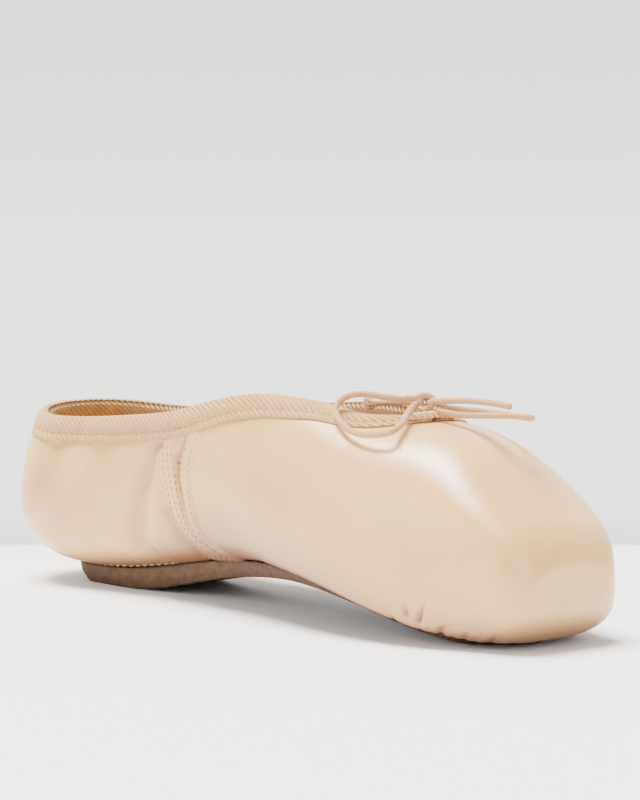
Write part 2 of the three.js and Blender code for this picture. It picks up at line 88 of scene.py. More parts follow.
# ------------------------------------------------------------------ creases, seams and pleats
# soft creases in the quarter, side view: points (x, z), height (negative is a trough), half width
CREASES = [
    ([(78.2, 52), (77, 48), (71.5, 36), (67.5, 19)], -1.9, 4.2),
    ([(80, 48), (80.6, 34), (77.2, 18)], 1.0, 2.8),
    ([(63, 44), (59, 30), (58, 18)], 0.7, 4.5),
    ([(85, 31), (88, 24.5), (92.5, 17)], -1.7, 2.5),
    ([(27.4, 52), (25.8, 38.9), (18.6, 27.2)], -0.9, 5.0),
    ([(50, 52), (47, 44), (42, 36)], -0.6, 5.5),
    ([(112, 52), (118, 40), (120, 28)], -0.3, 6.0),
]
FOLD = [(95, 60), (94.4, 54.6), (91.1, 48.7), (91, 43), (93.1, 37.5), (95.1, 30.8), (98.5, 25), (104, 18.5)]
SEAM_REAR = [(85.8, 60), (85.3, 53.6), (86.2, 48), (87.3, 43), (89.5, 35.5), (92.4, 28.6), (96.4, 21.5), (101, 15)]
SEAM_FRONT = [(99, 60), (98.3, 54.6), (95.9, 46.2), (95.9, 36.6), (97.9, 30), (101.4, 22.5), (108.5, 15.5)]
# pleats of the satin where it is drawn under the toe: upper end, middle, end at the sole; depth, half width
PLEATS = [
    ([(196, 36.2, 11), (197, 34.8, 8.6), (195, 28, 6.2)], .45, .9), ([(202.2, 34.8, 15), (203.1, 34.2, 10.5), (200, 27, 5.6)], 1.3, .75),
    ([(210, 32.3, 17), (206.8, 32.7, 8.6), (203, 26, 4.8)], 1.9, .8), ([(219.4, 28.4, 10), (212.8, 29.3, 5.9), (208, 23, 3.4)], 1.3, .75),
    ([(226.6, 26, 10.2), (219.8, 25.6, 4.8), (213, 19, 2.4)], 1.2, .7), ([(228, 25.4, 8.4), (222, 24, 4.4), (214.5, 17.6, 2.2)], .9, .6),
    ([(231.8, 22.8, 6.4), (226.7, 21, 3.6), (218, 13.4, 1.8)], .5, .9), ([(234.4, 16, 5.6), (229.4, 13.6, 3), (221, 8, 1.6)], .4, .9),
    ([(236.4, 5, 5.4), (231.6, 4.6, 2.4), (225, 2.6, 1.4)], .35, .9),
]


# ------------------------------------------------------------------ the last, as in the frame
def spline(xs, ys):
    n = len(xs)
    h = np.diff(xs)
    a, b = np.zeros((n, n)), np.zeros(n)
    a[0, 0] = a[-1, -1] = 1
    for i in range(1, n - 1):
        a[i, i - 1:i + 2] = h[i - 1], 2 * (h[i - 1] + h[i]), h[i]
        b[i] = 6 * ((ys[i + 1] - ys[i]) / h[i] - (ys[i] - ys[i - 1]) / h[i - 1])
    m = np.linalg.solve(a, b)

    def f(x):
        t = np.clip(np.asarray(x, float), xs[0], xs[-1])
        i = np.clip(np.searchsorted(xs, t, side="left") - 1, 0, n - 2)
        p, q = (xs[i + 1] - t) / h[i], (t - xs[i]) / h[i]
        return p * ys[i] + q * ys[i + 1] + ((p ** 3 - p) * m[i] + (q ** 3 - q) * m[i + 1]) * h[i] ** 2 / 6
    return f


def smooth(x, a, b):
    t = np.clip((np.asarray(x, float) - a) / (b - a), 0, 1)
    return t * t * (3 - 2 * t)


sole_z, sole_y, belly_y, belly_z, wall_z, shoulder_y, shoulder_z, crown_y, crown_z = [spline(LAST[:, 0], LAST[:, k]) for k in range(1, 10)]
collar_table = {-1: spline(COLLAR[:, 0], COLLAR[:, 1]), 1: spline(COLLAR[:, 0], COLLAR[:, 2])}
sole_half, sole_under = spline(OUTSOLE[:, 0], OUTSOLE[:, 1]), spline(OUTSOLE[:, 0], OUTSOLE[:, 2])


def rib(s, v):
    s, v = np.broadcast_arrays(np.asarray(s, float), np.asarray(v, float))
    sy, by, hy, cy = sole_y(s), belly_y(s), shoulder_y(s), crown_y(s)
    sz, bz, wz, hz, cz = sole_z(s), belly_z(s), wall_z(s), shoulder_z(s), crown_z(s)
    rr = np.stack([-by, -sy, sy, by, by, hy, cy, -cy, -hy])
    zz = np.stack([bz, sz, sz, bz, wz, hz, cz, cz, hz])
    t = 0.5 + 5 * v
    i = np.clip(np.floor(t).astype(int), 0, 5)
    f = t - i
    w = [(1 - f) ** 3 / 6, (3 * f ** 3 - 6 * f * f + 4) / 6, (-3 * f ** 3 + 3 * f * f + 3 * f + 1) / 6, f ** 3 / 6]
    r = sum(w[k] * np.take_along_axis(rr, (i + k)[None], 0)[0] for k in range(4))
    z = sum(w[k] * np.take_along_axis(zz, (i + k)[None], 0)[0] for k in range(4))
    return r, z


def station_of(u):
    return np.where(u <= U_ROUND, u, U_ROUND + TOE_ROUND * np.sin(np.minimum((u - U_ROUND) / TOE_ROUND, math.pi / 2)))


def skin(u, v):
    u, v = [np.array(a, float) for a in np.broadcast_arrays(u, v)]
    side = np.where(v < 0, -1.0, 1.0)
    v = np.abs(v)
    side = np.where(v > 1, -side, side)
    v = np.where(v > 1, 2 - v, v)
    side = np.where(u < HB, -side, side)
    u = np.where(u < HB, 2 * HB - u, u)
    s = station_of(u)
    r, z = rib(s, v)
    turn = np.maximum((HEEL_AXIS - s) / HEEL_AXIS, 0)
    x = np.where(s < HEEL_AXIS, HEEL_AXIS - r * np.sin(turn), s)
    y = np.where(s < HEEL_AXIS, r * np.cos(turn), r)
    inset = np.where(u < U_FLAT, TOE_ROUND * (1 - np.cos(np.maximum(u - U_ROUND, 0) / TOE_ROUND)), TOE_ROUND + u - U_FLAT)
    low, high = sole_z(s), crown_z(s)
    mid = (low + high) / 2
    y = np.where(u > U_ROUND, y * (1 - inset / belly_y(s)), y)
    z = np.where(u > U_ROUND, mid + (z - mid) * (1 - inset / ((high - low) / 2)), z)
    return np.stack([x, side * y, z], -1)


def unit(a):
    return a / np.maximum(np.linalg.norm(a, axis=-1, keepdims=True), 1e-12)


def normal(u, v):
    return unit(-np.cross(skin(u + .2, v) - skin(u - .2, v), skin(u, v + .004) - skin(u, v - .004)))


def wall_at(u):
    return QUARTER_WALL + (BOX_WALL - QUARTER_WALL) * smooth(station_of(u), BOX_FROM, BOX_FULL)


def above(u, v, h):
    return skin(u, v) + normal(u, v) * np.asarray(h, float)[..., None]


def collar_z(x, side):
    t = collar_table[side](x)
    return t + (rib(x, 1.0)[1] - (THROAT - x) * DIP[side] - t) * smooth(x, THROAT_FROM, THROAT - 5)


def bisect(f, a, b, n=36):
    for _ in range(n):
        m = (a + b) / 2
        low = f(m) < 0
        a, b = np.where(low, m, a), np.where(low, b, m)
    return (a + b) / 2


def v_under(u, r):
    s = station_of(u)
    return bisect(lambda m: rib(s, m)[0] - r, np.zeros_like(s), np.full_like(s, .5))


def v_height(u, z):
    s = station_of(u)
    return bisect(lambda m: rib(s, m)[1] - z, np.full_like(s, .12), np.full_like(s, 1.0))


def v_collar(u, side):
    def over(v):
        p = skin(u, v)
        return p[..., 2] - collar_z(p[..., 0], side)
    one = np.ones_like(u)
    v = bisect(over, one * .35, one)
    return np.where((over(one) <= 0) | (u >= THROAT - 1e-9), 1.0, v)


def opening_half(u):
    ahead = np.maximum(OPENING_END - u, 0)
    return np.where(ahead <= 0, 0, np.minimum(sole_half(u) - LASTING_MARGIN, np.sqrt(ahead * (28 + ahead))))


def row(p):
    return (np.asarray(p) + [X_SHIFT, 0, 0]) * .001


# ------------------------------------------------------------------ relief of the satin
def line_gap(p, line):
    """Distance of points p (n, k) from a polyline, and how far along it the nearest place is, 0 to 1."""
    line = np.array(line, float)
    best, along = np.full(len(p), 1e9), np.zeros(len(p))
    n = len(line) - 1
    for i in range(n):
        a, d = line[i], line[i + 1] - line[i]
        t = np.clip(((p - a) @ d) / (d @ d), 0, 1)
        g = np.linalg.norm(p - a - t[:, None] * d, axis=1)
        near = g < best
        best, along = np.where(near, g, best), np.where(near, (i + t) / n, along)
    return best, along


def soft_relief(p, side):
    """Broad creases, the same inside and outside."""
    q = p[:, [0, 2]].copy()
    if side > 0:
        q[:, 0] += 2.5 * np.sin(q[:, 1] * .11)
    flank = smooth(np.abs(p[:, 1]), 8, 18)
    d = np.zeros(len(p))
    for line, height, width in CREASES:
        g, t = line_gap(q, line)
        d += height * np.exp(-(g / width) ** 2) * flank
    x, y, z = p.T
    d += .22 * np.sin(x * .13 + z * .17 + side) * np.sin(z * .21 - x * .05 + 1.3 * side) * flank * smooth(160 - x, 0, 40)
    return d


def fine_relief(p, side):
    """Seam bands and pleats, outside only."""
    q = p[:, [0, 2]]
    flank = smooth(np.abs(p[:, 1]), 8, 18)
    d = np.zeros(len(p))
    for line, half in ((SEAM_REAR, 3.2), (SEAM_FRONT, 2.9)):
        g, _ = line_gap(q, line)
        d = np.maximum(d, .7 * smooth(half - g, -.4, .4) * flank)
    g, t = line_gap(q, FOLD)
    d -= 1.9 * np.exp(-(g / 1.0) ** 2) * flank * (1 - .75 * smooth(t, .55, .85))
    m = np.abs(p * [0, 1, 0]) + p * [1, 0, 1]
    toe = p[:, 0] > 185
    part = np.zeros(toe.sum())
    for line, depth, width in PLEATS:
        wob = np.array(line, float)
        wob[:, 0] += .8 * math.sin(line[0][0] * 3.1) * (side > 0)
        g, t = line_gap(m[toe], wob)
        k = depth * smooth(t, 0, .42)
        part += -k * np.exp(-(g / width) ** 2) + .3 * k * np.exp(-((g - 2.2) / 1.2) ** 2)
    d[toe] += np.clip(part, -1.9, .5)
    return d


# ------------------------------------------------------------------ meshes
def make_object(name, co, faces, materials, index=None, weld=3e-6, smooth_shade=True, attrs=None):
    me = bpy.data.meshes.new(name)
    me.from_pydata(np.asarray(co).tolist(), [], [list(map(int, f)) for f in faces])
    for m in materials:
        me.materials.append(m)
    if index is not None:
        me.polygons.foreach_set("material_index", np.asarray(index, np.int32))
    for key, values in (attrs or {}).items():
        a = me.attributes.new(key, "FLOAT_VECTOR", "POINT")
        a.data.foreach_set("vector", np.asarray(values, np.float32).ravel())
    if weld:
        bm = bmesh.new()
        bm.from_mesh(me)
        bmesh.ops.remove_doubles(bm, verts=bm.verts, dist=weld)
        bmesh.ops.dissolve_degenerate(bm, edges=bm.edges, dist=1e-7)
        bm.to_mesh(me)
        bm.free()
    me.polygons.foreach_set("use_smooth", np.full(len(me.polygons), smooth_shade))
    me.update()
    ob = bpy.data.objects.new(name, me)
    bpy.context.scene.collection.objects.link(ob)
    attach(ob, "root")
    return ob


class Sheets:
    def __init__(self):
        self.co, self.faces, self.mat, self.attr, self.n = [], [], [], [], 0

    def grid(self, p, flip=False, mat=0, attr=None):
        a, b = p.shape[:2]
        k = self.n + np.arange(a * b).reshape(a, b)
        q = [k[:-1, :-1], k[:-1, 1:], k[1:, 1:], k[1:, :-1]]
        if flip:
            q = q[::-1]
        f = np.stack([c.ravel() for c in q], 1)
        self.co.append(p.reshape(-1, 3))
        self.faces.append(f)
        self.mat.append(np.full(len(f), mat))
        self.attr.append(np.zeros((a * b, 3)) if attr is None else attr.reshape(-1, 3))
        self.n += a * b

    def pair(self, left, flip=False, right=None, mat=0, attr=None, attr_right=None):
        right = left if right is None else right
        self.grid(left, flip, mat, attr)
        self.grid(right * [1, -1, 1], not flip, mat, attr if attr_right is None else attr_right)

    def build(self, name, materials, weld=3e-6, key=None):
        co = row(np.concatenate(self.co))
        return make_object(name, co, np.concatenate(self.faces), materials, np.concatenate(self.mat), weld,
                           attrs={key: np.concatenate(self.attr)} if key else None)


def resample(points, pitch, start=0.0):
    seg = np.linalg.norm(np.diff(points, axis=0), axis=1)
    s = np.concatenate([[0], np.cumsum(seg)])
    at = np.arange(start, s[-1], pitch)
    return np.stack([np.interp(at, s, points[:, k]) for k in range(points.shape[1])], 1), at


def stitches(name, rows_of, length, radius, material):
    """Short rounded thread stitches. rows_of: list of (centres, tangents, normals)."""
    ring, caps = 6, np.array([[-1, .25], [-.8, .8], [0, 1], [.8, .8], [1, .25]])
    co, faces, n = [], [], 0
    for c, t, nn in rows_of:
        t = unit(t)
        nn = unit(nn - t * np.sum(t * nn, -1, keepdims=True))
        b = np.cross(nn, t)
        for i in range(len(c)):
            pts = []
            for a, k in caps:
                for j in range(ring):
                    w = 2 * math.pi * j / ring
                    sag = -radius * .9 * a * a
                    pts.append(c[i] + t[i] * a * length / 2 + (b[i] * math.cos(w) + nn[i] * math.sin(w) * .8) * radius * k + nn[i] * sag)
            co += pts
            m = len(caps)
            for a in range(m - 1):
                for j in range(ring):
                    faces.append((n + a * ring + j, n + a * ring + (j + 1) % ring, n + (a + 1) * ring + (j + 1) % ring, n + (a + 1) * ring + j))
            faces.append(tuple(n + j for j in range(ring))[::-1])
            faces.append(tuple(n + (m - 1) * ring + j for j in range(ring)))
            n += len(pts)
    ob = make_object(name, row(np.array(co)), faces, [material], weld=None)
    return ob


# ------------------------------------------------------------------ materials
def material(name, low, high, rough, scale=60.0, bumps=(), sheen=0.0, coat=0.0, spec=.5, attr=None, painted_shade=None):
    """Colour varies between low and high by a soft noise; if given, a painted shade colour is mixed in where the tone
    attribute is low; bumps: (kind, scale, strength, distance, stretch).
    """
    m = bpy.data.materials.new(name)
    m.use_nodes = True
    t = m.node_tree
    t.nodes.clear()
    out, bs = t.nodes.new("ShaderNodeOutputMaterial"), t.nodes.new("ShaderNodeBsdfPrincipled")
    t.links.new(bs.outputs[0], out.inputs[0])
    tc = t.nodes.new("ShaderNodeTexCoord")
    if attr:
        at = t.nodes.new("ShaderNodeAttribute")
        at.attribute_name = attr
        vec = at.outputs["Vector"]
    else:
        vec = tc.outputs["Object"]
    nz = t.nodes.new("ShaderNodeTexNoise")
    nz.inputs["Scale"].default_value = scale
    nz.inputs["Detail"].default_value = 6
    t.links.new(tc.outputs["Object"], nz.inputs["Vector"])
    cr = t.nodes.new("ShaderNodeValToRGB")
    cr.color_ramp.elements[0].position, cr.color_ramp.elements[1].position = .3, .7
    cr.color_ramp.elements[0].color, cr.color_ramp.elements[1].color = (*low, 1), (*high, 1)
    t.links.new(nz.outputs["Fac"], cr.inputs["Fac"])
    # painted shade: the colour is mixed towards a dark tan where the tone attribute is low
    if painted_shade:
        wa, wr, mx = t.nodes.new("ShaderNodeAttribute"), t.nodes.new("ShaderNodeSeparateXYZ"), t.nodes.new("ShaderNodeMixRGB")
        wa.attribute_name = "tone"
        t.links.new(wa.outputs["Vector"], wr.inputs[0])
        t.links.new(wr.outputs["X"], mx.inputs["Fac"])
        mx.inputs["Color1"].default_value = (*painted_shade, 1)
        t.links.new(cr.outputs["Color"], mx.inputs["Color2"])
        t.links.new(mx.outputs["Color"], bs.inputs["Base Color"])
    else:
        t.links.new(cr.outputs["Color"], bs.inputs["Base Color"])
    rr = t.nodes.new("ShaderNodeMapRange")
    rr.inputs["To Min"].default_value, rr.inputs["To Max"].default_value = rough - .05, rough + .05
    t.links.new(nz.outputs["Fac"], rr.inputs["Value"])
    t.links.new(rr.outputs["Result"], bs.inputs["Roughness"])
    bs.inputs["Specular IOR Level"].default_value = spec
    bs.inputs["Sheen Weight"].default_value = sheen
    bs.inputs["Sheen Roughness"].default_value = .4
    bs.inputs["Coat Weight"].default_value = coat
    bs.inputs["Coat Roughness"].default_value = .35
    last = None
    for kind, sc, strength, dist, stretch in bumps:
        mp = t.nodes.new("ShaderNodeMapping")
        mp.inputs["Scale"].default_value = stretch[:3]
        if len(stretch) > 3:
            mp.inputs["Rotation"].default_value = (0, 0, stretch[3])
        src = vec if kind == "wave" or attr is None else tc.outputs["Object"]
        t.links.new(src, mp.inputs["Vector"])
        tx = t.nodes.new({"wave": "ShaderNodeTexWave", "noise": "ShaderNodeTexNoise", "cells": "ShaderNodeTexVoronoi"}[kind])
        tx.inputs["Scale"].default_value = sc
        if kind == "wave":
            tx.inputs["Distortion"].default_value = .6
            tx.inputs["Detail"].default_value = 2
        elif kind == "noise":
            tx.inputs["Detail"].default_value = 5
        t.links.new(mp.outputs["Vector"], tx.inputs["Vector"])
        bp = t.nodes.new("ShaderNodeBump")
        bp.inputs["Strength"].default_value, bp.inputs["Distance"].default_value = strength, dist
        t.links.new(tx.outputs["Distance" if kind == "cells" else "Fac"], bp.inputs["Height"])
        if last:
            t.links.new(last, bp.inputs["Normal"])
        last = bp.outputs["Normal"]
    if last:
        t.links.new(last, bs.inputs["Normal"])
    return m


ONE = (1, 1, 1)
# the satin's dark tan is painted shade, mixed in near the sole, at the foot of the toe and in the creases, the fold and
# the pleats
SATIN = material("satin_cloth", (.66, .375, .118), (.74, .43, .142), .33, 40,
                 (("noise", 900, .2, .0003, (1, .25, .25)), ("noise", 60, .2, .0012, ONE)), sheen=.05, coat=.2, spec=.75, painted_shade=(.20, .075, .02))
LINING = material("lining_cotton", (.48, .29, .15), (.58, .36, .19), .9, 60, (("noise", 1400, .5, .0004, ONE),), spec=.2)
TWILL = material("twill_tape", (.62, .33, .112), (.72, .40, .142), .8, 220,
                 (("wave", .224, 1.0, .0007, (1, 1, 0, math.radians(52))), ("noise", 1500, .3, .0003, ONE)), sheen=.2, spec=.3, attr="tape")
LEATHER = material("sole_leather", (.062, .032, .016), (.105, .058, .03), .72, 420,
                   (("noise", 420, .5, .0006, ONE), ("cells", 900, .3, .0004, ONE)), spec=.3)
THREAD = material("thread", (.34, .185, .085), (.44, .25, .12), .7, 300, (("noise", 3000, .4, .0002, ONE),), spec=.3)
COTTON = material("cord_cotton", (.47, .255, .115), (.56, .32, .15), .7, 260, (("noise", 2200, .5, .0003, ONE),), sheen=.2, spec=.3)
PALE = material("gather_cotton", (.66, .42, .22), (.74, .50, .28), .75, 260, (("noise", 2200, .5, .0003, ONE),), sheen=.2, spec=.3)

# ------------------------------------------------------------------ camera, and the bow's cords
cam_data = bpy.data.cameras.new("camera")
cam_data.lens, cam_data.sensor_width, cam_data.sensor_fit = 166.19, 36, "AUTO"
cam_data.clip_start, cam_data.clip_end = .01, 50
cam = bpy.data.objects.new("camera", cam_data)
cam.location = (.88748, -.79663, .18040)
cam.rotation_euler = (math.radians(90 - 5.43242), 0, math.radians(47.78524))
bpy.context.scene.collection.objects.link(cam)
bpy.context.scene.camera = cam


def catmull(points, step):
    p = np.array(points, float)
    p = np.vstack([2 * p[0] - p[1], p, 2 * p[-1] - p[-2]])
    out = []
    for i in range(1, len(p) - 2):
        k = np.sqrt(np.linalg.norm(np.diff(p[i - 1:i + 3], axis=0), axis=1))
        t0, t1 = 0.0, k[0]
        t2 = t1 + k[1]
        t3 = t2 + k[2]
        for t in np.linspace(t1, t2, 24, endpoint=False):
            a1 = (t1 - t) / (t1 - t0) * p[i - 1] + (t - t0) / (t1 - t0) * p[i]
            a2 = (t2 - t) / (t2 - t1) * p[i] + (t - t1) / (t2 - t1) * p[i + 1]
            a3 = (t3 - t) / (t3 - t2) * p[i + 1] + (t - t2) / (t3 - t2) * p[i + 2]
            b1 = (t2 - t) / (t2 - t0) * a1 + (t - t0) / (t2 - t0) * a2
            b2 = (t3 - t) / (t3 - t1) * a2 + (t - t1) / (t3 - t1) * a3
            out.append((t2 - t) / (t2 - t1) * b1 + (t - t1) / (t2 - t1) * b2)
    out.append(p[-2])
    out = np.array(out)
    length = np.linalg.norm(np.diff(out, axis=0), axis=1).sum()
    return resample(out, length / max(round(length / step), 2) * .99999)[0], length


def frames(path):
    t = unit(np.gradient(path, axis=0))
    n = np.zeros_like(t)
    ref = np.array([0, 0, 1.0]) if abs(t[0, 2]) < .9 else np.array([1.0, 0, 0])
    n[0] = unit(ref - t[0] * (ref @ t[0]))
    for i in range(1, len(t)):
        n[i] = unit(n[i - 1] - t[i] * (n[i - 1] @ t[i]))
    return t, n, np.cross(t, n)


def braid_tube(path, radius, closed=False, sides=16, strands=4, lay=3.4, depth=.06, ends=True):
    """Tube whose surface shows the crossing strands of a braid."""
    t, n, b = frames(path)
    seg = np.concatenate([[0], np.cumsum(np.linalg.norm(np.diff(path, axis=0), axis=1))])
    w = np.linspace(0, 2 * math.pi, sides, endpoint=False)
    s, a = np.meshgrid(seg, w, indexing="ij")
    k = np.maximum(np.cos(strands / 2 * (a + 2 * math.pi * s / lay)), np.cos(strands / 2 * (a - 2 * math.pi * s / lay)))
    r = radius * (1 - depth * .5 + depth * (k - .5))
    if ends and not closed:
        e = np.minimum(seg, seg[-1] - seg)
        r = r * np.sqrt(np.clip(e / (radius * .7), .02, 1))[:, None]
    co = path[:, None] + r[..., None] * (np.cos(a)[..., None] * n[:, None] + np.sin(a)[..., None] * b[:, None])
    m, faces = len(path), []
    idx = np.arange(m * sides).reshape(m, sides)
    for i in range(m - 1 + (1 if closed else 0)):
        for j in range(sides):
            i2, j2 = (i + 1) % m, (j + 1) % sides
            faces.append((idx[i, j], idx[i2, j], idx[i2, j2], idx[i, j2]))
    if not closed:
        faces += [tuple(idx[0]), tuple(idx[-1][::-1])]
    return co.reshape(-1, 3), faces


cord_facts = {}
for key, points in CORDS.items():
    path, length = catmull(points, .28)
    co, faces = braid_tube(path, CORD / 2)
    ob = make_object("cord_" + key, row(co), faces, [COTTON], weld=None)
    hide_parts("drawstring_" + key)
    cord_facts[key] = (ob, row(path), length)
for key in ("loop_side", "loop_front"):
    ob, path, length = cord_facts[key]

co_all, faces_all, n0 = [], [], 0
for x, y, z, ax, ay, az, radius in KNOT:
    axis = unit(np.array([ax, ay, az]))
    e1 = unit(np.cross(axis, [0, 1, .3]))
    e2 = np.cross(axis, e1)
    a = np.linspace(0, 2 * math.pi, 44, endpoint=False)[:, None]
    ringpath = np.array([x, y, z]) + radius * (np.cos(a) * e1 + np.sin(a) * e2)
    w = np.linspace(0, 2 * math.pi, 14, endpoint=False)
    rad = unit(ringpath - [x, y, z])
    s, ww = np.meshgrid(np.arange(44), w, indexing="ij")
    k = np.maximum(np.cos(2 * (ww + s * .55)), np.cos(2 * (ww - s * .55)))
    r = CORD / 2 * (1 - .06 + .12 * (k - .5))
    co = ringpath[:, None] + r[..., None] * (np.cos(ww)[..., None] * rad[:, None] + np.sin(ww)[..., None] * axis)
    idx = n0 + np.arange(44 * 14).reshape(44, 14)
    for i in range(44):
        for j in range(14):
            faces_all.append((idx[i, j], idx[i, (j + 1) % 14], idx[(i + 1) % 44, (j + 1) % 14], idx[(i + 1) % 44, j]))
    co_all.append(co.reshape(-1, 3))
    n0 += 44 * 14
for points in ([(170.6, -5.6, 71.4), (173, -2.6, 71.7), (175.2, -.4, 71.2)], [(180.2, 6, 68.6), (178.8, 3, 69.4), (177.2, .8, 69.8)],
               [(181.4, .7, 71.05), (178.6, .4, 70.6), (176.2, 0, 70.4)], [(181.4, .2, 68.15), (178.8, .3, 69), (176.8, .4, 69.7)],
               [(174.8, -4.6, 69.4), (174.2, -1.8, 70.2), (174.8, .2, 70.6)], [(169.8, .7, 69.9), (172.4, .5, 70.0), (174.2, .2, 70.2)],
               [(172.6, -1.6, 69.2), (173.2, -2.2, 71), (174.8, -1.2, 72.4), (176.6, .6, 72.3), (177.6, 1.9, 70.8), (177.4, 1.6, 68.9)]):
    co, faces = braid_tube(catmull(points, .28)[0], CORD / 2)
    co_all.append(co)
    faces_all += [tuple(int(i) + n0 for i in f) for f in faces]
    n0 += len(co)
knot = make_object("knot_wraps", row(np.concatenate(co_all)), faces_all, [COTTON], weld=None)
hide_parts("drawstring_knot")


# ------------------------------------------------------------------ upper
def steps(a, b, size):
    return np.linspace(a, b, max(int(round((b - a) / size)), 1) + 1)


back = 34 * np.linspace(1, 0, 31) ** 2
STATIONS = np.concatenate([steps(HB, 30, 1.5), steps(30, 72, 1.6)[1:], steps(72, 116, .75)[1:], steps(116, THROAT - 34, 1.6)[1:],
                           (THROAT - back)[1:], steps(THROAT, 195, 1.4)[1:], steps(195, U_ROUND, .75)[1:], steps(U_ROUND, U_FLAT, .8)[1:]])
V_STEPS = 84
ff = np.linspace(0, 1, V_STEPS + 1)


def upper_side(side):
    u = STATIONS
    lo = np.where(u >= OPENING_END, 0, v_under(u, opening_half(u)))
    hi = np.where(u >= THROAT, 1.0, v_collar(u, side))
    v = lo[:, None] + (hi - lo)[:, None] * ff
    uu = np.broadcast_to(u[:, None], v.shape)
    p, n = skin(uu, v), normal(uu, v)
    flat = (p * [1, side, 1]).reshape(-1, 3)
    soft = soft_relief(flat, side).reshape(v.shape)
    fine = fine_relief(flat, side).reshape(v.shape)
    edge = smooth(np.minimum(ff, 1 - ff * (u[:, None] < THROAT)), 0, .03)
    under_tape = np.where(uu < THROAT - 4, smooth(collar_z(p[..., 0], side) - p[..., 2], 5.0, 8.4), 1.0)
    soft, fine = soft * edge * under_tape, fine * edge * under_tape
    out = p + n * (soft + fine)[..., None]
    inn = p - n * (wall_at(uu) - soft)[..., None]
    for g in (out, inn):
        g[u >= THROAT - 1e-9, -1, 1] = 0
        g[u >= OPENING_END, 0, 1] = 0
        g[0, :, 1] = 0
    # painted shade: tone is 0 at the sole's edge and near the floor under the toe, and drops in the creases, the fold
    # and the pleats, so the satin's colour darkens there
    edge_v = v_under(u, sole_half(np.minimum(u, 212)))
    up = smooth((v - edge_v[:, None]) * 115 / (17 + 25 * smooth(uu, 55, 105)), .03, 1)
    ahead = smooth(uu, 192, 212)
    up = up * (1 - ahead) + smooth(p[..., 2], 1, 14) * ahead
    tone = up * (1 - .34 * np.clip(-soft / 1.6, 0, 1)) * (1 - .55 * np.clip(-fine / 1.5, 0, 1))
    tone = np.stack([tone, tone * 0, tone * 0], -1)
    return out, inn, tone


sheets = Sheets()
(lo_out, lo_in, lo_tone), (ro_out, ro_in, ro_tone) = upper_side(1), upper_side(-1)
sheets.pair(lo_out, False, ro_out, attr=lo_tone, attr_right=ro_tone)
sheets.pair(lo_in, True, ro_in, mat=1)
k = STATIONS <= THROAT + 1e-9
sheets.pair(np.stack([lo_out[k, -1], lo_in[k, -1]], 1), False, np.stack([ro_out[k, -1], ro_in[k, -1]], 1))
k = STATIONS <= OPENING_END + .8
sheets.pair(np.stack([lo_in[k, 0], lo_out[k, 0]], 1), False, np.stack([ro_in[k, 0], ro_out[k, 0]], 1))
for (l, r), flip, mat in (((lo_out, ro_out), False, 0), ((lo_in, ro_in), True, 1)):
    rings = []
    for g in (l, r):
        c = np.array([g[-1, 0, 0], 0, (g[-1, 0, 2] + g[-1, -1, 2]) / 2])
        t = np.linspace(0, 1, 14)[:, None, None]
        rings.append(g[-1][None] * (1 - t) + c * t)
    # painted shade: the toe's flat end darkens towards its foot
    sheets.pair(rings[0], flip, rings[1], mat=mat, attr=smooth(rings[0][..., [2, 2, 2]], 1, 14))
upper = sheets.build("satin_upper", [SATIN, LINING], key="tone")
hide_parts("upper")

# ------------------------------------------------------------------ soles
def on_station(u, r, z):
    turn = np.maximum((HEEL_AXIS - u) / HEEL_AXIS, 0)
    x = np.where(u < HEEL_AXIS, HEEL_AXIS - r * np.sin(turn), u)
    y = np.where(u <= HB + 1e-9, 0, np.where(u < HEEL_AXIS, r * np.cos(turn), r))
    return np.stack(np.broadcast_arrays(x, y, z), -1)


def under_foot(u, r):
    u, r = np.broadcast_arrays(u, np.abs(r))
    z = rib(u, v_under(u, r))[1]
    axis = rib(HEEL_AXIS, 0.0)[1]
    return np.where(u >= HEEL_AXIS, z, axis + (z - axis) * smooth(r, 0, 12))


def steep(u, r):
    return np.hypot(1, under_foot(u, r + .5) - under_foot(u, np.abs(r - .5)))


us = np.concatenate([steps(HB, 30, 1.5), steps(30, 213, 1.6)[1:], steps(213, 224, .6)[1:]])[:, None]
half = sole_half(us)
rt = half * np.linspace(0, 1, 13)
top = on_station(us, rt, under_foot(us, rt) - GAP * steep(us, rt))
bevel = 1.6 + 4.6 * (1 - smooth(us, -6, 34))
rb = (half - bevel) * np.linspace(0, 1, 13)
bottom = on_station(us, rb, np.maximum(sole_under(us) * np.where(us < HEEL_AXIS, smooth(rb, 5, half), 1), 0))
seat = (under_foot(us, half) - GAP * steep(us, half))
floor = np.maximum(sole_under(us), 0)
tt = np.linspace(0, 1, 9)
ease = np.interp(tt, [0, .2, .5, .8, 1], [1, .62, .25, .06, 0])
bulge = -bevel * ease + .45 * np.sin(math.pi * tt)
rim = on_station(us, half + bulge, floor + (seat - floor) * tt ** 1.0)
rim[:, 0], rim[:, -1] = bottom[:, -1], top[:, -1]
sole = Sheets()
sole.pair(top, True)
sole.pair(bottom)
sole.pair(rim)
sole.pair(np.stack([bottom[-1], top[-1]]))
tip = np.stack([np.linspace(0, 1, 9)[:, None] * (top[-1, -1] - bottom[-1, -1]) + bottom[-1, -1], rim[-1]])
sole.pair(tip)
leather = sole.build("leather_sole", [LEATHER])
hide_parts("outsole")

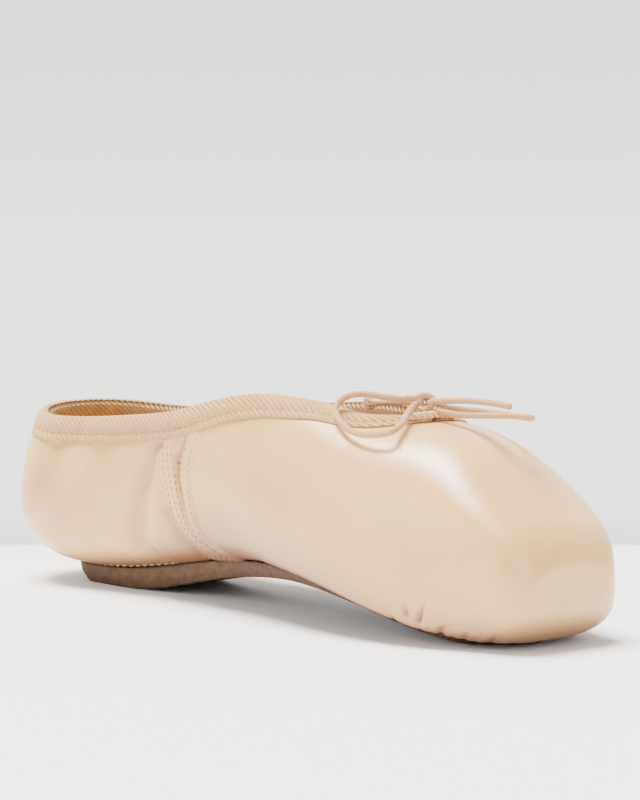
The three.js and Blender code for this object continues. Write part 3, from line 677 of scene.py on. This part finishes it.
ui = np.concatenate([steps(HB, 30, 1.8), steps(30, 190, 2.2)[1:], steps(190, INSOLE_END, 1.2)[1:]])[:, None]
ih = np.minimum(sole_y(ui) - INSOLE_MARGIN, np.where(ui > 185, np.sqrt(np.maximum((INSOLE_END - ui) * (52 - (INSOLE_END - ui)), 16)), 99))
ri = ih * np.linspace(0, 1, 13)
lift = under_foot(ui, ri) + (wall_at(ui) + 1.5 * GAP) * steep(ui, ri)
ins = Sheets()
lo_i, hi_i = on_station(ui, ri, lift), on_station(ui, ri, lift + INSOLE_THICK)
ins.pair(lo_i)
ins.pair(hi_i, True)
ins.pair(np.stack([lo_i[:, -1], hi_i[:, -1]], 1))
ins.pair(np.stack([lo_i[-1], hi_i[-1]]))
sock = ins.build("sock_lining", [LINING])
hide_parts("insole")


# ------------------------------------------------------------------ binding
def walk(u, v, heading, distance, parts=4):
    for _ in range(parts):
        n = normal(u, v)
        heading = unit(heading - n * np.sum(heading * n, -1, keepdims=True))
        target = skin(u, v) + heading * distance / parts
        for _ in range(6):
            a, b = (skin(u + .15, v) - skin(u - .15, v)) / .3, (skin(u, v + .003) - skin(u, v - .003)) / .006
            g = target - skin(u, v)
            aa, ab, bb = np.sum(a * a, -1), np.sum(a * b, -1), np.sum(b * b, -1)
            det = aa * bb - ab * ab
            det = np.where(np.abs(det) < 1e-9, 1e9, det)
            ag, bg = np.sum(a * g, -1), np.sum(b * g, -1)
            u, v = u + (bb * ag - ab * bg) / det, v + (aa * bg - ab * ag) / det
    return u, v


CU = np.concatenate([steps(HB, 30, 1.5), steps(30, THROAT - 34, 1.8)[1:], (THROAT - 34 * np.linspace(1, 0, 27) ** 2)[1:]])
W, I, T = TAPE_OUT, TAPE_IN, TAPE_THICK
PROFILE = [(W, 0, -.55), (W + .1, 0, -.2), (W - .1, 0, .25), (6.8, 0, .5), (6.0, 0, .5), (5.3, 0, .42), (4.8, 0, .3), (4.3, 0, .5), (3.6, 0, .85),
           (2.7, 0, 1.08), (1.7, 0, 1.15), (.7, 0, 1.0), (-.2, 0, .85), (-1.0, 0, .7), (-1.5, 0, .3), (-1.9, 1, .75), (-2.0, 1, .5),
           (-1.9, 1, .25), (-1.5, 2, .3), (-1.0, 2, .7), (.6, 2, 1.0), (2, 2, 1.0), (3.6, 2, .9), (5, 2, .85), (I, 2, .6),
           (I, 2, 0), (I * .5, 2, 0), (.2, 2, 0), (-.6, 1, .5), (.2, 0, 0), (W * .5, 0, -.2), (W, 0, -.55)]


def binding_side(side):
    u = CU
    v = v_collar(u, side)
    p = skin(u, v)
    p[0, 1] = p[-1, 1] = 0
    ext = np.vstack([p[1] * [1, -1, 1], p, p[-2] * [1, -1, 1]])
    tangent = unit(ext[2:] - ext[:-2])
    down = unit(np.cross(normal(u, v), tangent))
    sign = np.where(down[:, 2] > 0, -1.0, 1.0)
    sign[-1] = -1.0 if down[-1, 0] < 0 else 1.0
    down *= sign[:, None]
    wall = wall_at(u)
    cache = {}

    def place(b, zone, h):
        if b > 0:
            if b not in cache:
                cache[b] = walk(u, v, down, b)
            uu, vv = cache[b]
        else:
            uu, vv = u, v
        height = {0: .35 + h * (.55 if h < 0 else 1), 1: -wall * h, 2: -wall - TAPE_GAP - h}[zone]
        q = above(uu, vv, height + 0 * u)
        if b < 0:
            q = q + down * b
        q[0, 1] = q[-1, 1] = 0
        return q
    rows_ = np.stack([place(*c) for c in PROFILE], 1)
    arc = np.concatenate([[0], np.cumsum(np.linalg.norm(np.diff(p, axis=0), axis=1))])
    across = np.concatenate([[0], np.cumsum(np.linalg.norm(np.diff(rows_[len(u) // 2], axis=0), axis=1))])
    tape = np.stack([np.broadcast_to(arc[:, None], rows_.shape[:2]), np.broadcast_to(across, rows_.shape[:2]), np.zeros(rows_.shape[:2])], -1)
    seam = place(4.8, 0, .42), normal(*cache[4.8])
    return rows_, tape, seam


tape = Sheets()
(l_rows, l_tape, l_seam), (r_rows, r_tape, r_seam) = binding_side(1), binding_side(-1)
tape.pair(l_rows, False, r_rows, attr=l_tape, attr_right=r_tape * [-1, 1, 1])
binding = tape.build("twill_binding", [TWILL], key="tape")
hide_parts("collar_binding")


# ------------------------------------------------------------------ stitching
def stitch_row(points, normals, pitch, mirror=False):
    both = np.hstack([points, normals])
    q, _ = resample(both, pitch, pitch * .5)
    c, n = q[:, :3], q[:, 3:]
    t = np.gradient(c, axis=0)
    if mirror:
        c, n, t = c * [1, -1, 1], n * [1, -1, 1], t * [1, -1, 1]
    return c, t, n


stitches("binding_stitches", [stitch_row(*l_seam, 3.1), stitch_row(*r_seam, 3.1, True)], 2.2, .26, THREAD)

rows_of = []
for line, offsets in ((SEAM_REAR, (-2.4, 0, 2.4)), (SEAM_FRONT, (-2.0, 2.0))):
    fine_line, _ = resample(np.array(line, float), .6)
    fine_line = fine_line[fine_line[:, 1] < 52.5]
    for dx in offsets:
        u = fine_line[:, 0] + dx
        v = v_height(u, fine_line[:, 1])
        for side in (-1, 1):
            p = skin(u, v)
            h = soft_relief(p * [1, side, 1], side) + fine_relief(p * [1, side, 1], side)
            n = normal(u, v)
            rows_of.append(stitch_row(p + n * (h + .06)[:, None], n, 2.3, side < 0))
stitches("seam_stitches", rows_of, 1.6, .2, THREAD)

# heel seam, along the top of the sole
u = np.linspace(HB + .5, 76, 160)
hh = sole_half(u)
rows_of = []
v = v_under(u, hh + .9)
p, n = skin(u, v), normal(u, v)
for side in (-1, 1):
    rows_of.append(stitch_row(p + n * .12, n, 3.4, side < 0))
stitches("sole_stitches", rows_of, 2.0, .3, THREAD)

# frayed tip of the short end
tip_path = np.array(CORDS["end_back"], float)
end, heading = tip_path[-1], unit(tip_path[-1] - tip_path[-2])
e1 = unit(np.cross(heading, [0, 0, 1]))
e2 = np.cross(e1, heading)
rng = np.random.default_rng(7)
co_all, faces_all, n0 = [], [], 0
for i in range(170):
    a, spread, ln = rng.uniform(0, 2 * math.pi), math.sqrt(rng.uniform(0, 1)), rng.uniform(2.6, 4.4)
    side_dir = math.cos(a) * e1 + math.sin(a) * e2
    base = end - heading * 1.2 + side_dir * spread * .8
    path = np.array([base + heading * ln * t + side_dir * spread * (2.0 * t ** 1.2) + e2 * .25 * math.sin(5 * t + a) * t for t in np.linspace(0, 1, 6)])
    path[:, 2] = np.maximum(path[:, 2], 66.4)
    t, n, b = frames(path)
    w = np.linspace(0, 2 * math.pi, 5, endpoint=False)
    rad = .16 * np.array([1, 1, .95, .9, .75, .35])
    co = path[:, None] + rad[:, None, None] * (np.cos(w)[None, :, None] * n[:, None] + np.sin(w)[None, :, None] * b[:, None])
    idx = n0 + np.arange(30).reshape(6, 5)
    for r_ in range(5):
        for j in range(5):
            faces_all.append((idx[r_, j], idx[r_ + 1, j], idx[r_ + 1, (j + 1) % 5], idx[r_, (j + 1) % 5]))
    faces_all += [tuple(idx[0]), tuple(idx[-1][::-1])]
    co_all.append(co.reshape(-1, 3))
    n0 += 30
fray = make_object("cord_fray", row(np.concatenate(co_all)), faces_all, [PALE], weld=None)

# twisted gathering thread at the throat, below the knot
co_all, faces_all, n0 = [], [], 0
for points, strand, turn in (([(177.4, -9.6, 66.5), (179.6, -5.2, 66.9), (180.9, -.5, 67), (180.6, 4.5, 66.7), (179.2, 9.5, 65.9)], .72, 4.2),
                             ([(174.2, -4.0, 68.0), (177, -.9, 68.3), (179.6, 2.6, 67.9)], .68, 4.0)):
    path, ln = catmull(points, .3)
    t, n, b = frames(path)
    sl = np.linspace(0, ln, len(path))
    for ph in (0, math.pi):
        w = 2 * math.pi * sl / turn + ph
        co, faces = braid_tube(path + strand * .8 * (np.cos(w)[:, None] * n + np.sin(w)[:, None] * b), strand, sides=12, depth=.1, lay=2.2)
        co_all.append(co)
        faces_all += [tuple(int(i) + n0 for i in f) for f in faces]
        n0 += len(co)
gather = make_object("throat_gather", row(np.concatenate(co_all)), faces_all, [PALE], weld=None)

# ------------------------------------------------------------------ floor and light
me = bpy.data.meshes.new("floor")
me.from_pydata([(-8, -8, 0), (8, -8, 0), (8, 2.5, 0), (-8, 2.5, 0)], [], [(0, 1, 2, 3)])
floor_ob = bpy.data.objects.new("floor", me)
floor_ob.location = (.00274, 0, 0)
floor_ob.rotation_euler = (0, 0, math.radians(47.785))
bpy.context.scene.collection.objects.link(floor_ob)
fm = bpy.data.materials.new("floor_paint")
fm.use_nodes = True
nt = fm.node_tree
bs = nt.nodes["Principled BSDF"]
bs.inputs["Roughness"].default_value = .8
bs.inputs["Specular IOR Level"].default_value = .2
# painted shade: about 0.15 m behind the shoe the floor's colour drops from pale to grey, darkest just past the step,
# standing in for a shaded wall and the shade at its foot
tc, sep, mr = nt.nodes.new("ShaderNodeTexCoord"), nt.nodes.new("ShaderNodeSeparateXYZ"), nt.nodes.new("ShaderNodeMapRange")
mr.inputs["From Min"].default_value, mr.inputs["From Max"].default_value = .13, .53
cr = nt.nodes.new("ShaderNodeValToRGB")
tones = [(0, .90), (.03, .88), (.055, .42), (.25, .50), (.6, .53), (1, .53)]
el = cr.color_ramp.elements
while len(el) < len(tones):
    el.new(.5)
for e, (at_, tone) in zip(el, tones):
    e.position, e.color = at_, (tone, tone, tone * 1.005, 1)
nt.links.new(tc.outputs["Object"], sep.inputs[0])
nt.links.new(sep.outputs["Y"], mr.inputs["Value"])
nt.links.new(mr.outputs["Result"], cr.inputs["Fac"])
nt.links.new(cr.outputs["Color"], bs.inputs["Base Color"])
me.materials.append(fm)
me = bpy.data.meshes.new("backdrop")
turns = np.linspace(0, math.pi / 2, 25)
arc_y, arc_z = 2.5 + 2.5 * np.sin(turns), 2.5 - 2.5 * np.cos(turns)
arc_y, arc_z, lift_a = np.append(arc_y, 5), np.append(arc_z, 6), np.append(turns, math.pi / 2)
me.from_pydata([(x, y, z) for y, z in zip(arc_y, arc_z) for x in (-8, 8)], [], [(2 * i, 2 * i + 1, 2 * i + 3, 2 * i + 2) for i in range(len(arc_y) - 1)])
me.polygons.foreach_set("use_smooth", np.ones(len(me.polygons), bool))
# painted light: the backdrop glows, more as its curve rises, in place of the sunlight its steep part doesn't catch; its
# grey base colour is the same painted wall shade as the far floor
glow = me.attributes.new("glow", "FLOAT", "POINT")
glow.data.foreach_set("value", np.repeat(1.75 * (1 - np.cos(lift_a)), 2).astype(np.float32))
drop_ob = bpy.data.objects.new("backdrop", me)
drop_ob.location, drop_ob.rotation_euler = floor_ob.location, floor_ob.rotation_euler
bpy.context.scene.collection.objects.link(drop_ob)
dm = bpy.data.materials.new("backdrop_paper")
dm.use_nodes = True
db = dm.node_tree.nodes["Principled BSDF"]
db.inputs["Base Color"].default_value = (.53, .53, .532, 1)
db.inputs["Roughness"].default_value = 1
db.inputs["Emission Color"].default_value = (1, .995, 1, 1)
ga = dm.node_tree.nodes.new("ShaderNodeAttribute")
ga.attribute_name = "glow"
dm.node_tree.links.new(ga.outputs["Fac"], db.inputs["Emission Strength"])
me.materials.append(dm)

world = bpy.data.worlds.new("studio")
bpy.context.scene.world = world
world.use_nodes = True
world.node_tree.nodes["Background"].inputs[0].default_value = (.97, .98, 1, 1)
world.node_tree.nodes["Background"].inputs[1].default_value = .75

sun = bpy.data.lights.new("sky_panel", "SUN")
sun.energy, sun.angle, sun.color = 12.5, math.radians(31), (1, .985, .96)
sun_ob = bpy.data.objects.new("sky_panel", sun)
sun_ob.rotation_euler = Vector((.27, .05, -.96)).to_track_quat("-Z", "Y").to_euler()
bpy.context.scene.collection.objects.link(sun_ob)


def area(name, at, to, size, power, colour=(1, 1, 1)):
    d = bpy.data.lights.new(name, "AREA")
    d.shape, d.size, d.size_y, d.energy, d.color = "RECTANGLE", size[0], size[1], power, colour
    o = bpy.data.objects.new(name, d)
    o.location = at
    o.rotation_euler = (Vector(to) - Vector(at)).to_track_quat("-Z", "Y").to_euler()
    bpy.context.scene.collection.objects.link(o)


area("side_panel", (-.35, -1.25, .55), (0, 0, .03), (1.2, .8), 11)
area("front_panel", (1.3, -.1, .5), (.1, 0, .03), (.7, .7), 5)
